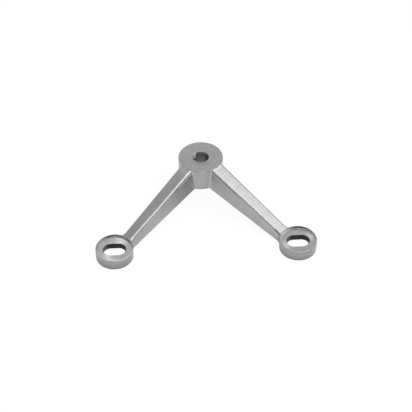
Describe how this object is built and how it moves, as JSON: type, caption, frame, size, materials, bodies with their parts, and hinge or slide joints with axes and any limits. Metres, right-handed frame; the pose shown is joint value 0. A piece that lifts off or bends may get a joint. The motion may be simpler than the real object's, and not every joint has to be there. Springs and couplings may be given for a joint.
{
  "type": "glass spider fitting",
  "caption": "V-shaped spider fitting in brushed stainless steel: a bored hub and slotted ring ends on sloping arms, which holds the corners of point-fixed facade glass.",
  "frame": {"origin": "centre of the hub's bore, in the hub's turned face", "axes": "+Z along the bore, out of the turned face; +X along the line that joins the two slots; the arms run towards -Y and fall towards -Z"},
  "size_m": [0.265, 0.16, 0.0535],
  "materials": {
    "stainless_steel": "satin brushed, with turned faces on the hub and in the rings"
  },
  "bodies": {
    "root": {"spider_casting": "stainless_steel"}
  },
  "joints": []
}
